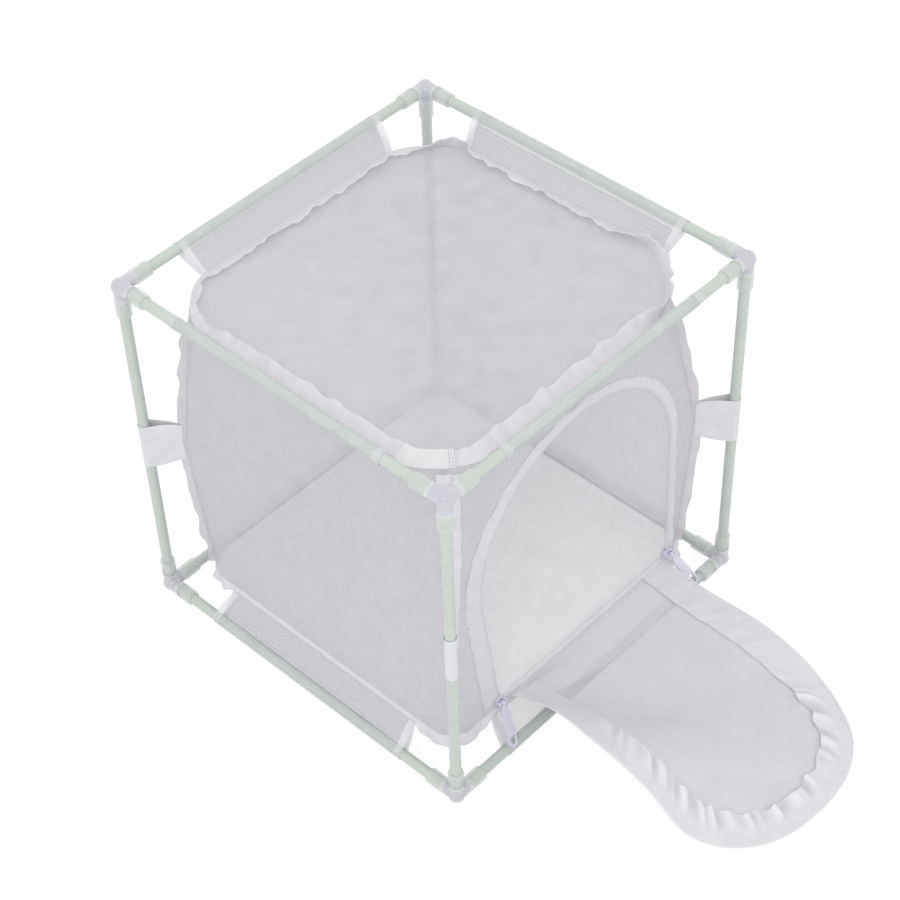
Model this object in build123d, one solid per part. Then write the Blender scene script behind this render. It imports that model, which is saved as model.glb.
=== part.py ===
from build123d import *
import math
import os

# Butterfly habitat cage: a net box hung inside a cube of tubes, with an arched zip door.
# Millimetres, +Z up, the door faces -Y. Pieces are built about the cube's middle with the
# ground at z = 0, and are shifted at the end, so that the origin is on the ground below the
# middle of everything, the open door included.

# Frame of tubes and corner connectors
frame_size = 300.0          # from tube axis to tube axis, the same along x, y and z
tube_diameter = 8.0
tube_wall = 1.0
socket_diameter = 12.6
socket_reach = 26.0         # from the crossing of the tube axes to the socket's mouth
socket_stop = 12.0          # from the same crossing to the tube's end
socket_fit = 0.05           # radial play between tube and socket
socket_chamfer = 1.2
corner_rounding = 3.4

# Net box
net_inset = 19.5            # from the tubes' axes in to the outside of the walls
net_rounding = 20.0         # radius of the box's upright corners
net_thickness = 1.0
floor_rise = 20.5           # from the bottom tubes' axes up to the floor cloth's underside
roof_drop = 16.0            # from the top tubes' axes down to the top of the roof panel
binding_thickness = 0.8
binding_width = 9.0
fin_height = 6.0            # the bottom binding hangs below the floor cloth

# Sleeves and straps that hang the net on the tubes
sleeve_margin = 52.0        # from the frame's corner to the sleeve's end
sleeve_thickness = 0.8
strap_height = 40.0
strap_middle = 157.0        # height of the straps' middle above the ground
strap_thickness = 1.2
hanger_play = 0.3           # between a sleeve or strap and what it touches

# Arched doorway: the line of the zip's coil
arch_side = 29.5            # from the outside of the side walls to the widest coil
arch_margin = 9.0           # from the zip's tape up to the roof's binding
left_margin = 46.0          # from the outside of the left wall to the left leg's foot
right_margin = 25.5
coil_width = 3.0
coil_thickness = 1.6
tape_width = 14.0           # from the coil's middle to the tape's outer edge
tape_thickness = 0.8
wall_setback = 6.0          # from the coil's middle to the cut edge of the front wall

# Door panel, sewn along its straight lower edge
hinge_height = 30.3
hinge_gap = 0.4             # from the hinge line to the door's lower edge
sill_drop = 1.1             # from the hinge line down to the strip of wall below the door
door_gap = 5.0              # from the coil's middle to the door's edge
hem_width = 24.0
hem_thickness = 1.2
mesh_thickness = 1.0
crease_gap = 1.0
lower_crease = 84.0         # height above the hinge line at x = 0
lower_slope = 40.0          # degrees
upper_crease = 138.0
upper_slope = 25.0
hinge_fold = 99.3           # degrees that the open door is turned down, out of the wall
lower_fold = -40.0
upper_fold = 50.0

# Zip sliders and pull tabs
slider_length = 9.0
slider_width = 8.4
slider_plate = 1.2
slider_rounding = 2.0
slider_play = 0.3           # between the slider and the coil, and above the hinge line
bridge_width = 1.6
ear_width = 1.0
ear_spacing = 5.0
ear_rim = 0.4               # of the ears, round the pin
pin_diameter = 1.6
pin_fit = 0.1               # radial
pin_height = 2.6            # above the slider's front plate
pin_offset = 1.0            # up from the slider's middle
eye_diameter = 3.8
eye_width = 2.2
pull_length = 33.0          # from the pin to the tab's end
pull_width = 7.8
pull_thickness = 1.6
pull_shoulder = 8.0         # from the pin to where the tab has its full width
pull_hole_length = 8.0
pull_hole_width = 4.0
pull_hole_margin = 2.0      # from the hole to the tab's end
pull_rest = 0.5             # between a hanging tab and the sleeve below it
pull_swing = 20.0           # degrees sideways, away from the door
pin_toe = 12.0              # degrees that a lifted tab still points away from the door

# Worked out from the sizes above
half_frame = frame_size / 2
tube_radius = tube_diameter / 2
socket_radius = socket_diameter / 2
low_axis = socket_radius
high_axis = low_axis + frame_size
net_half = half_frame - net_inset
floor_height = low_axis + floor_rise
roof_height = high_axis - roof_drop
binding_half = net_half + binding_thickness
wall_bottom = floor_height + net_thickness
wall_top = roof_height - net_thickness
zip_y = -(net_half + tape_thickness / 2)
arch_radius = net_half - arch_side
arch_centre_height = roof_height - binding_width - arch_margin - tape_width - arch_radius
left_foot = left_margin - net_half
right_foot = net_half - right_margin
sill_height = hinge_height - sill_drop
slider_front = coil_thickness / 2 + slider_play + slider_plate
slider_height = hinge_height + slider_play + slider_length / 2
far_out = 3 * frame_size    # further than any piece reaches

# The upright plane of the zip and the door: local x is x, local y is height, facing -Y
zip_plane = Plane(origin=(0, zip_y, 0), x_dir=(1, 0, 0), z_dir=(0, -1, 0))

sides = {"front": (0, -1), "right": (1, 0), "back": (0, 1), "left": (-1, 0)}
corners = {
    "front_left": (-1, -1),
    "front_right": (1, -1),
    "back_right": (1, 1),
    "back_left": (-1, 1),
}
levels = {"bottom": low_axis, "top": high_axis}


def bar(radius, start, direction, length):
    """A round bar from a start point along a direction."""
    rod = Cylinder(radius, length, align=(Align.CENTER, Align.CENTER, Align.MIN))
    return Plane(origin=start, z_dir=direction) * rod


def tube(corner, direction):
    """A hollow tube between the stops of two sockets, given the corner that it starts at."""
    start = Vector(*corner) + Vector(*direction) * socket_stop
    length = frame_size - 2 * socket_stop
    outside = bar(tube_radius, start, direction, length)
    return outside - bar(tube_radius - tube_wall, start, direction, length)


def connector(corner, inward):
    """A three-way corner: a rounded block with three sockets."""
    block = Box(socket_diameter, socket_diameter, socket_diameter)
    body = Pos(*corner) * fillet(block.edges(), corner_rounding)
    arms = [(inward[0], 0, 0), (0, inward[1], 0), (0, 0, inward[2])]
    for arm in arms:
        socket = bar(socket_radius, corner, arm, socket_reach)
        mouth = socket.faces().sort_by(Axis(corner, arm))[-1]
        body += chamfer(mouth.edges(), socket_chamfer)
    for arm in arms:
        stop = Vector(*corner) + Vector(*arm) * socket_stop
        body -= bar(tube_radius + socket_fit, stop, arm, socket_reach)
    return body


def frame_parts():
    """The twelve tubes and the eight connectors."""
    parts = {}
    for level, height in levels.items():
        for side, (x, y) in sides.items():
            corner = (
                (x - abs(y)) * half_frame,
                (y - abs(x)) * half_frame,
                height,
            )
            parts[f"tube_{level}_{side}"] = tube(corner, (abs(y), abs(x), 0))
    for name, (x, y) in corners.items():
        foot = (x * half_frame, y * half_frame, low_axis)
        parts[f"post_{name}"] = tube(foot, (0, 0, 1))
        for level, height in levels.items():
            up = 1 if level == "bottom" else -1
            corner = (foot[0], foot[1], height)
            parts[f"connector_{level}_{name}"] = connector(corner, (-x, -y, up))
    return parts


def rounded_block(outset, bottom, top):
    """A solid with the net box's plan, moved out by the outset, between two heights."""
    width = 2 * (net_half + outset)
    plan = RectangleRounded(width, width, net_rounding + outset)
    return Pos(0, 0, bottom) * extrude(plan, top - bottom)


def quarter(x, y):
    """The quarter of space between the two diagonals that looks along x, y."""
    left = (x + y, y - x)
    right = (x - y, y + x)
    outline = Polyline(
        (0, 0),
        (left[0] * far_out, left[1] * far_out),
        (right[0] * far_out, right[1] * far_out),
        close=True,
    )
    return extrude(make_face(outline), far_out)


def leg_angle(foot):
    """Where on the arch's circle the straight leg up from a foot touches it, in radians."""
    drop = hinge_height - arch_centre_height
    opening = math.acos(arch_radius / math.hypot(foot, drop))
    return math.atan2(drop, foot) + math.copysign(opening, foot)


def leg_top(foot, inset):
    """Where a leg, moved in by the inset, meets the round top: x and height."""
    radius = arch_radius - inset
    angle = leg_angle(foot)
    return radius * math.cos(angle), arch_centre_height + radius * math.sin(angle)


def leg_point(foot, inset, height):
    """The point of a leg, moved in by the inset, at a height."""
    x, z = leg_top(foot, inset)
    return x + (z - height) * math.tan(leg_angle(foot)), height


def arch_face(inset, bottom):
    """The doorway's outline moved in by the inset: a straight foot, two legs and an arc."""
    left = leg_point(left_foot, inset, bottom)
    left_end = leg_top(left_foot, inset)
    right = leg_point(right_foot, inset, bottom)
    right_end = leg_top(right_foot, inset)
    crown = (0, arch_centre_height + arch_radius - inset)
    return make_face(
        [
            Line(right_end, right),
            Line(right, left),
            Line(left, left_end),
            ThreePointArc(left_end, crown, right_end),
        ]
    )


def zip_slab(face, thickness):
    """A face of the zip's plane, given a thickness that is centred on that plane."""
    return extrude(zip_plane * face, thickness / 2, both=True)


def net_parts():
    """Roof, floor cloth and the four walls of the net box."""
    parts = {
        "net_roof": rounded_block(0, wall_top, roof_height),
        "floor_cloth": rounded_block(0, floor_height, wall_bottom),
    }
    shell = rounded_block(0, wall_bottom, wall_top)
    shell -= rounded_block(-net_thickness, wall_bottom, wall_top)
    for side, (x, y) in sides.items():
        parts[f"net_wall_{side}"] = shell & quarter(x, y)
    doorway = arch_face(-wall_setback, sill_height)
    parts["net_wall_front"] -= zip_slab(doorway, 4 * net_thickness)
    return parts


def binding_parts():
    """Tapes that bind the edges of the net box."""
    skirt = roof_height - binding_width
    cap = roof_height + binding_thickness
    top = rounded_block(binding_thickness, skirt, cap)
    top -= rounded_block(0, skirt, roof_height)
    top -= rounded_block(-binding_width, roof_height, cap)
    fin = rounded_block(0, floor_height - fin_height, floor_height)
    fin -= rounded_block(-binding_thickness, floor_height - fin_height, floor_height)
    parts = {"binding_top": top, "binding_bottom": fin}
    skin = rounded_block(binding_thickness, wall_bottom, skirt)
    skin -= rounded_block(0, wall_bottom, skirt)
    strip = Box(far_out, binding_width, far_out, align=(Align.MIN, Align.CENTER, Align.MIN))
    for name, (x, y) in corners.items():
        diagonal = math.degrees(math.atan2(y, x))
        parts[f"binding_{name}"] = skin & (Rot(0, 0, diagonal) * strip)
    return parts


def hanger(start, end, thickness):
    """Section of cloth that runs from a start point to a tube's axis and goes round it."""
    run = Vector(*end) - Vector(*start)
    slope = math.degrees(math.atan2(run.Y, run.X))
    bore = tube_radius + hanger_play
    web = Pos(run.length / 2, 0) * Rectangle(run.length, thickness)
    loop = Pos(run.length, 0) * Circle(bore + thickness)
    section = web + loop - Pos(run.length, 0) * Circle(bore)
    return Pos(*start) * Rot(0, 0, slope) * section


def sleeve_parts():
    """Eight sleeves, four at the roof and four at the floor."""
    parts = {}
    section_plane = Plane(origin=(0, 0, 0), x_dir=(0, -1, 0), z_dir=(-1, 0, 0))
    seam = hanger_play + sleeve_thickness / 2
    seams = {
        "top": (binding_half + seam, roof_height - sleeve_thickness),
        "bottom": (net_half + seam, floor_height - fin_height / 2),
    }
    for level, height in levels.items():
        section = hanger(seams[level], (half_frame, height), sleeve_thickness)
        front = extrude(section_plane * section, half_frame - sleeve_margin, both=True)
        for side, (x, y) in sides.items():
            turn = math.degrees(math.atan2(x, -y))
            parts[f"sleeve_{level}_{side}"] = Rot(0, 0, turn) * front
    return parts


def strap_parts():
    """Four straps from the upright bindings to the posts."""
    parts = {}
    corner = (net_half - net_rounding) * math.sqrt(2) + net_rounding + binding_thickness
    start = corner + hanger_play
    section = hanger((start, 0), (half_frame * math.sqrt(2), 0), strap_thickness)
    strap = Pos(0, 0, strap_middle - strap_height / 2) * extrude(section, strap_height)
    for name, (x, y) in corners.items():
        diagonal = math.degrees(math.atan2(y, x))
        parts[f"strap_{name}"] = Rot(0, 0, diagonal) * strap
    return parts


def zip_parts():
    """The zip's coil round the doorway and the tape that is sewn to the front wall."""
    half = coil_width / 2
    coil_outside = arch_face(-half, sill_height)
    coil = coil_outside - arch_face(half, sill_height)
    tape = arch_face(-tape_width, sill_height) - coil_outside
    return {
        "zip_coil": zip_slab(coil, coil_thickness),
        "zip_tape": zip_slab(tape, tape_thickness),
    }


def crease_axis(height, slope):
    """The line of a crease across the closed door."""
    angle = math.radians(slope)
    middle = (0, zip_y, hinge_height + height)
    return Axis(middle, (math.cos(angle), 0, math.sin(angle)))


hinge_line = crease_axis(0, 0)
lower_line = crease_axis(lower_crease, lower_slope)
upper_line = crease_axis(upper_crease, upper_slope)


def above(height, slope, gap):
    """The half of the zip's plane that lies more than the gap above a crease."""
    half = Pos(0, far_out / 2 + gap) * Rectangle(2 * far_out, far_out)
    return Pos(0, hinge_height + height) * Rot(0, 0, slope) * half


def below(height, slope, gap):
    """The half of the zip's plane that lies more than the gap below a crease."""
    half = Pos(0, -far_out / 2 - gap) * Rectangle(2 * far_out, far_out)
    return Pos(0, hinge_height + height) * Rot(0, 0, slope) * half


def open_out(piece, folds):
    """Turns a piece of the closed door about each crease in turn, out to the rest pose."""
    for line, angle in folds:
        piece = piece.rotate(line, angle)
    return piece


def door_parts():
    """The net panel and its hem, each cut in three along the creases of the open door."""
    outside = arch_face(door_gap, hinge_height + hinge_gap)
    inside = arch_face(door_gap + hem_width, hinge_height + hinge_gap)
    sheets = {
        "door_mesh": (inside, mesh_thickness),
        "door_hem": (outside - inside, hem_thickness),
    }
    half_gap = crease_gap / 2
    over_lower = above(lower_crease, lower_slope, half_gap)
    under_lower = below(lower_crease, lower_slope, half_gap)
    over_upper = above(upper_crease, upper_slope, half_gap)
    under_upper = below(upper_crease, upper_slope, half_gap)
    near_folds = [(hinge_line, hinge_fold)]
    middle_folds = [(lower_line, lower_fold)] + near_folds
    far_folds = [(upper_line, upper_fold)] + middle_folds
    parts = {}
    for name, (face, thickness) in sheets.items():
        near = zip_slab(face & under_lower, thickness)
        middle = zip_slab(face & over_lower & under_upper, thickness)
        far = zip_slab(face & over_upper, thickness)
        parts[f"{name}_near"] = open_out(near, near_folds)
        parts[f"{name}_middle"] = open_out(middle, middle_folds)
        parts[f"{name}_far"] = open_out(far, far_folds)
    return parts


def slider_plane(foot):
    """The slider's own plane: local y runs up the leg, local z points out of the wall."""
    angle = leg_angle(foot)
    up = math.copysign(1, math.cos(angle))
    x, height = leg_point(foot, 0, slider_height)
    return Plane(
        origin=(x, zip_y, height),
        x_dir=(up * math.cos(angle), 0, up * math.sin(angle)),
        z_dir=(0, -1, 0),
    )


def pin_centre(foot):
    """The middle of the pin that the tab hangs on."""
    plane = slider_plane(foot)
    return plane.from_local_coords(Vector(0, pin_offset, slider_front + pin_height))


def pull_directions(foot):
    """The pin's axis, and the way that the tab hangs. A turn about the axis lifts the tab."""
    pin = pin_centre(foot)
    out = half_frame + pin.Y
    drop = pin.Z - low_axis
    clear = tube_radius + hanger_play + sleeve_thickness + pull_rest + pull_thickness / 2
    slope = math.atan2(out, drop) + math.asin(clear / math.hypot(out, drop))
    away = math.copysign(1, foot)
    swing = math.radians(pull_swing)
    lean = math.atan(math.tan(slope) * math.cos(swing))
    toe = math.radians(pin_toe)
    hanging = Vector(
        away * math.sin(swing) * math.cos(lean),
        -math.sin(lean),
        -math.cos(swing) * math.cos(lean),
    )
    lifted = Vector(away * math.sin(toe), -math.cos(toe), 0)
    return hanging.cross(lifted).normalized(), hanging


def slider(foot):
    """A slider: two plates round the coil, a bridge beside it, and ears with a pin."""
    toward_door = -math.copysign(1, foot)
    middle = coil_thickness / 2 + slider_play + slider_plate / 2
    plate = extrude(
        RectangleRounded(slider_width, slider_length, slider_rounding),
        slider_plate / 2,
        both=True,
    )
    bridge_x = toward_door * (coil_width / 2 + slider_play + bridge_width / 2)
    body = Pos(bridge_x, 0, 0) * Box(bridge_width, slider_length - slider_rounding, 2 * middle)
    body += Pos(0, 0, middle) * plate
    body += Pos(0, 0, -middle) * plate
    ear_length = pin_diameter + 2 * ear_rim
    ear_height = pin_height + ear_length / 2
    ear = Box(ear_width, ear_length, ear_height, align=(Align.CENTER, Align.CENTER, Align.MIN))
    for side in (-1, 1):
        ear_x = side * (ear_spacing + ear_width) / 2
        body += Pos(ear_x, pin_offset, slider_front) * ear
    axis = pull_directions(foot)[0]
    pin_length = ear_spacing + 2 * ear_width
    start = pin_centre(foot) - axis * (pin_length / 2)
    return slider_plane(foot) * body + bar(pin_diameter / 2, start, axis, pin_length)


def pull(foot):
    """A pull tab with an eye round the slider's pin and an oval hole near its end."""
    axis, hanging = pull_directions(foot)
    plane = Plane(origin=pin_centre(foot), x_dir=axis, z_dir=axis.cross(-hanging))
    half = pull_width / 2
    outline = Polyline(
        (-eye_width / 2, 0),
        (-eye_width / 2, -eye_diameter / 2),
        (-half, -pull_shoulder),
        (-half, half - pull_length),
        (half, half - pull_length),
        (half, -pull_shoulder),
        (eye_width / 2, -eye_diameter / 2),
        (eye_width / 2, 0),
        close=True,
    )
    tab = make_face(outline) + Pos(0, half - pull_length) * Circle(half)
    hole_y = pull_hole_margin + pull_hole_length / 2 - pull_length
    tab -= Pos(0, hole_y) * Rot(0, 0, 90) * SlotOverall(pull_hole_length, pull_hole_width)
    body = extrude(tab, pull_thickness / 2, both=True)
    body += Rot(0, 90, 0) * Cylinder(eye_diameter / 2, eye_width)
    body -= Rot(0, 90, 0) * Cylinder(pin_diameter / 2 + pin_fit, 2 * eye_width)
    return plane * body


def zip_pull_parts():
    """Both sliders and both pull tabs."""
    parts = {}
    for name, foot in (("left", left_foot), ("right", right_foot)):
        parts[f"slider_{name}"] = slider(foot)
        parts[f"pull_tab_{name}"] = pull(foot)
    return parts


def all_parts():
    """Every piece by name, about the cube's middle."""
    parts = frame_parts()
    parts.update(net_parts())
    parts.update(binding_parts())
    parts.update(sleeve_parts())
    parts.update(strap_parts())
    parts.update(zip_parts())
    parts.update(door_parts())
    parts.update(zip_pull_parts())
    return parts


parts = all_parts()
whole = Compound(children=[Compound(piece.solids()) for piece in parts.values()])
box = whole.bounding_box()
origin = Vector((box.min.X + box.max.X) / 2, (box.min.Y + box.max.Y) / 2, box.min.Z)
print("size", box.size, "origin", origin)

os.makedirs("parts", exist_ok=True)
for name, piece in parts.items():
    solids = piece.moved(Location(-origin)).solids()
    export_step(solids[0] if len(solids) == 1 else Compound(solids), f"parts/{name}.step")
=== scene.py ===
import math

import bmesh
import bpy
import numpy as np
from mathutils import Matrix, Vector


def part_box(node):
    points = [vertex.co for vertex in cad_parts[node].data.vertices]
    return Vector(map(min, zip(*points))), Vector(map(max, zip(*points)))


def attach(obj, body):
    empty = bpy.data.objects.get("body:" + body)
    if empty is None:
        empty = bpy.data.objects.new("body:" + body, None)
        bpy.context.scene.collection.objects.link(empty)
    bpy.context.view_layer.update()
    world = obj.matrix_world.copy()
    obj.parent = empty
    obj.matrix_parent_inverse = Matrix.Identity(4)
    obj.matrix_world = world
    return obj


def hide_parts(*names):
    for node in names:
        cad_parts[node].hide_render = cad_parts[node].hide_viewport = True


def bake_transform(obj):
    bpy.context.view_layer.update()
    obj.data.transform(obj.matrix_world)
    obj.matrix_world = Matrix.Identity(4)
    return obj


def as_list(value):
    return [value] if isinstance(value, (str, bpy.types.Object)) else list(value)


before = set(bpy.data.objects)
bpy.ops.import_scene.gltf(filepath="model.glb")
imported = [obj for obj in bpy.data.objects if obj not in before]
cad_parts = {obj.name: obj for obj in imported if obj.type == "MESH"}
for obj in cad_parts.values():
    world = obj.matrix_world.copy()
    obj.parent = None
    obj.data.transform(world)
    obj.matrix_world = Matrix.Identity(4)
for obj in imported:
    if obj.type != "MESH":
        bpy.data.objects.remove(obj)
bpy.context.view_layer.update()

# Lengths below are in millimetres from the middle of the cage, with z up from the ground.
# place() turns them into the shared frame's metres.
MM = 0.001
front_left_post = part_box("post_front_left")
back_right_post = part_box("post_back_right")
MIDDLE = (np.array(front_left_post[0]) + np.array(back_right_post[1])) / 2
MIDDLE[2] = 0.0
TUBE_HALF = (back_right_post[0][0] - front_left_post[0][0]) / 2 / MM
LOW_AXIS = 6.3
HIGH_AXIS = 306.3
TUBE_LOOP = 4.5

FLOOR_Z = 27.3
ROOF_Z = 290.0
NET_TALL = 263.0  # a wall's cloth, which is cut a little taller than it hangs
STRAP_V = 0.495  # the straps' height as a share of the wall's
STRAP_Z = 157.0
SILL_Z = 29.2
HINGE_Z = 30.3
DOOR_FOOT = HINGE_Z + 0.4
ZIP_Y = -130.9
ARCH_RADIUS = 101.0
ARCH_Z = 157.3
LEFT_FOOT = -84.5
RIGHT_FOOT = 105.0
UP = np.array([0.0, 0.0, 1.0])


def place(points):
    """Millimetres about the cage's middle to metres in the shared frame."""
    return np.asarray(points, float) * MM + MIDDLE


def height_at(v):
    return FLOOR_Z + v * (ROOF_Z - FLOOR_Z)


def share_up(z):
    return (z - FLOOR_Z) / (ROOF_Z - FLOOR_Z)


def stack(*parts):
    """The parts, spread to one shape, side by side along a last axis."""
    return np.stack(np.broadcast_arrays(*parts), -1)


def unit(vectors):
    return vectors / np.linalg.norm(vectors, axis=-1, keepdims=True)


def run_along(points):
    """The distance along a line of points from its start."""
    return np.concatenate([[0], np.cumsum(np.linalg.norm(np.diff(points, axis=0), axis=1))])


def at_run(points, run):
    """The points at a distance along a line."""
    return stack(*(np.interp(run, run_along(points), column) for column in points.T))


def smooth_step(x):
    x = np.clip(x, 0.0, 1.0)
    return x * x * (3 - 2 * x)


def bump_at(x, middle, width):
    """1 at the middle, dying out smoothly on both sides."""
    return np.exp(-(((x - middle) / width) ** 2))


def ripple(s, length, wave, seed, waves=4):
    """Uneven waves along a line, from about -1 to 1, that close up over the length."""
    rng = np.random.default_rng(seed)
    total = np.zeros_like(np.asarray(s, float))
    for _ in range(waves):
        turns = max(1, round(length / (wave * rng.uniform(0.65, 1.6))))
        total = total + rng.uniform(0.5, 1.0) * np.sin(
            2 * math.pi * turns * np.asarray(s) / length + rng.uniform(0, 6.3)
        )
    return total / math.sqrt(waves)


# ---- Materials

def shade(colour, factor):
    return tuple(min(1.0, c * factor) for c in colour)


class Shading:
    """The node tree of a new material or of the world, made and linked by short calls."""

    def __init__(self, name, owner=None):
        self.owner = owner or bpy.data.materials.new(name)
        self.owner.use_nodes = True
        self.tree = self.owner.node_tree
        self.tree.nodes.clear()

    def node(self, kind, inputs=(), **settings):
        """A node with its settings; its inputs get a link, a number or a colour."""
        node = self.tree.nodes.new("ShaderNode" + kind)
        for key, value in settings.items():
            setattr(node, key, value)
        for key, value in dict(inputs).items():
            if isinstance(value, bpy.types.NodeSocket):
                self.tree.links.new(value, node.inputs[key])
            else:
                node.inputs[key].default_value = (*value, 1.0) if isinstance(value, tuple) else value
        return node

    def math(self, operation, *values):
        return self.node("Math", enumerate(values), operation=operation).outputs[0]

    def mix(self, factor, first, second):
        return self.node("Mix", {0: factor, 6: first, 7: second}, data_type="RGBA").outputs[2]

    def ramp(self, source, scale, low, high):
        """A value mapped from one range to another, and kept inside it."""
        ends = {"From Min": scale[0], "From Max": scale[1], "To Min": low, "To Max": high}
        return self.node("MapRange", {"Value": source, **ends}).outputs[0]

    def noise(self, vector, scale, detail):
        return self.node("TexNoise", {"Vector": vector, "Scale": scale, "Detail": detail}).outputs[0]

    def bump(self, height, strength, distance):
        inputs = {"Height": height, "Strength": strength, "Distance": distance}
        return self.node("Bump", inputs).outputs[0]

    def clouded(self, cloud, scale, colour, low, high):
        """A colour that drifts with the noise from a darker to a lighter shade."""
        return self.mix(self.ramp(cloud, scale, 0.0, 1.0), shade(colour, low), shade(colour, high))

    def cloth_place(self, **layer):
        """The piece's cloth coordinates (mm), whole and one by one."""
        uv = self.node("UVMap", **layer).outputs[0]
        return uv, self.node("SeparateXYZ", {0: uv}).outputs

    def threads(self, pitch):
        """Cloth coordinates, and a wave across the threads of each direction."""
        uv, split = self.cloth_place()
        turns = [self.math("MULTIPLY", split[k], 2 * math.pi / pitch) for k in (0, 1)]
        return uv, split, [self.math("COSINE", turn) for turn in turns]

    def object_place(self):
        return self.node("TexCoord").outputs["Object"]

    def body(self, tone, **inputs):
        return self.node("BsdfPrincipled", {"Base Color": tone, **inputs}).outputs[0]

    def blend(self, share, first, second):
        return self.node("MixShader", {0: share, 1: first, 2: second}).outputs[0]

    def let_through(self, share, surface, tone):
        """Cloth that glows with the light from behind it."""
        return self.blend(share, surface, self.node("BsdfTranslucent", {0: tone}).outputs[0])

    def open_up(self, cover, surface):
        """A surface with gaps that show what is behind it."""
        return self.blend(cover, self.node("BsdfTransparent").outputs[0], surface)

    def seen(self):
        """1 where the camera sees the surface, straight, mirrored or through a clear part."""
        path = self.node("LightPath").outputs
        straight = self.math("MAXIMUM", path["Is Camera Ray"], path["Is Glossy Ray"])
        return self.math("MAXIMUM", straight, path["Is Transmission Ray"])

    def done(self, shader, output="OutputMaterial"):
        self.node(output, {0: shader})
        return self.owner


def net_material(name, colour, cover, stripe=0.0, through_share=0.45, shade_lifted_below=0, full_below=0):
    """Fine mesh: threads with see-through holes and faint cloudiness.

    Below a given height it is painted paler, a painted lightening of the shade that falls there; below
    another it has smaller holes.
    """
    pitch, stripe_pitch = 1.3, 3.4
    net = Shading(name)
    uv, split, waves = net.threads(pitch)
    thread = net.math("MAXIMUM", *waves)
    cover_now = net.ramp(thread, (-0.6, 0.9), cover - 0.13, cover + 0.10)
    cloud = net.noise(uv, 0.045, 4.0)
    cover_now = net.math("ADD", cover_now, net.ramp(cloud, (0.3, 0.7), -0.03, 0.03))
    if stripe:
        turn = net.math("MULTIPLY", split[1], 2 * math.pi / stripe_pitch)
        swing = net.math("MULTIPLY", net.math("SINE", turn), stripe)
        cover_now = net.math("ADD", cover_now, swing)
    if full_below:
        foot = net.ramp(split[1], (full_below - 6, full_below), 0.11, 0.0)
        cover_now = net.math("ADD", cover_now, foot)
    cover_now = net.math("MINIMUM", cover_now, 1.0)
    tone = net.clouded(cloud, (0.35, 0.65), colour, 0.97, 1.03)
    # Painted lightening below the given height, over the shade that falls there.
    if shade_lifted_below:
        near = net.ramp(split[1], (shade_lifted_below - 2, shade_lifted_below + 1), 1.0, 0.0)
        tone = net.mix(near, tone, shade(colour, 1.13))
    normal = net.bump(thread, 0.25, 0.00012)
    surface = net.node("BsdfDiffuse", {0: tone, "Normal": normal}).outputs[0]
    return net.done(net.open_up(cover_now, net.let_through(through_share, surface, tone)))


def cloth_material(
    name, colour, cover=1.0, pitch=0.7, stitches=(), through_share=0.1, rough_weave=0.35, folds=False
):
    """Woven cloth or tape: fine weave, soft tone changes, stitch rows, painted highlight and shade on folds.
    """
    cloth = Shading(name)
    uv, split, waves = cloth.threads(pitch)
    weave = cloth.math("MULTIPLY", *waves)
    cloud = cloth.noise(uv, 0.09, 5.0)
    fine = cloth.noise(uv, 0.9, 2.0)
    tone = cloth.clouded(cloud, (0.3, 0.7), colour, 0.955, 1.03)
    # Painted highlight on the fold ridges and painted shade in the fold valleys.
    if folds:
        ridge, valley_shade = cloth.cloth_place(uv_map="fold")[1][:2]
        tone = cloth.mix(ridge, tone, shade(colour, 1.17))
        tone = cloth.mix(valley_shade, tone, shade(colour, 0.80))
    grain = cloth.ramp(weave, (-1.0, 1.0), 0.0, 1.0)
    tone = cloth.mix(grain, cloth.mix(0.06, tone, (0.4, 0.4, 0.45)), tone)
    height = cloth.math("ADD", weave, cloth.math("MULTIPLY", fine, 1.2))
    for line in stitches:
        away = cloth.math("ABSOLUTE", cloth.math("SUBTRACT", split[1], line))
        near = cloth.ramp(away, (0.25, 0.55), 1.0, 0.0)
        along = cloth.math("MULTIPLY", split[0], 2 * math.pi / 2.6)
        dash = cloth.ramp(cloth.math("COSINE", along), (-0.2, 0.2), 0.35, 1.0)
        mark = cloth.math("MULTIPLY", near, dash)
        tone = cloth.mix(cloth.math("MULTIPLY", mark, 0.55), tone, (0.36, 0.35, 0.41))
        height = cloth.math("SUBTRACT", height, cloth.math("MULTIPLY", mark, 3.0))
    surface = cloth.body(tone, Roughness=0.85, Normal=cloth.bump(height, rough_weave, 0.00006), **{
        "Specular IOR Level": 0.2, "Sheen Weight": 0.15,
    })
    surface = cloth.let_through(through_share, surface, tone)
    if cover < 1.0:
        gaps = cloth.ramp(weave, (-1.0, 1.0), cover - 0.12, min(1.0, cover + 0.12))
        surface = cloth.open_up(gaps, surface)
    return cloth.done(surface)


def moulded_material(name, colour, roughness, streak=0.04, coat=0.0):
    """Moulded or extruded plastic, or lacquer, with faint clouding, fine scuffs and uneven gloss."""
    plastic = Shading(name)
    place_of = plastic.object_place()
    cloud = plastic.noise(place_of, 38.0, 4.0)
    scuff = plastic.noise(place_of, 420.0, 3.0)
    tone = plastic.clouded(cloud, (0.3, 0.7), colour, 1 - streak, 1 + streak)
    gloss = plastic.ramp(scuff, (0.35, 0.65), roughness * 0.85, roughness * 1.2)
    return plastic.done(plastic.body(
        tone, Roughness=gloss, IOR=1.46, Normal=plastic.bump(scuff, 0.02, 0.0001),
        **{"Coat Weight": coat, "Coat Roughness": 0.15},
    ))


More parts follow.
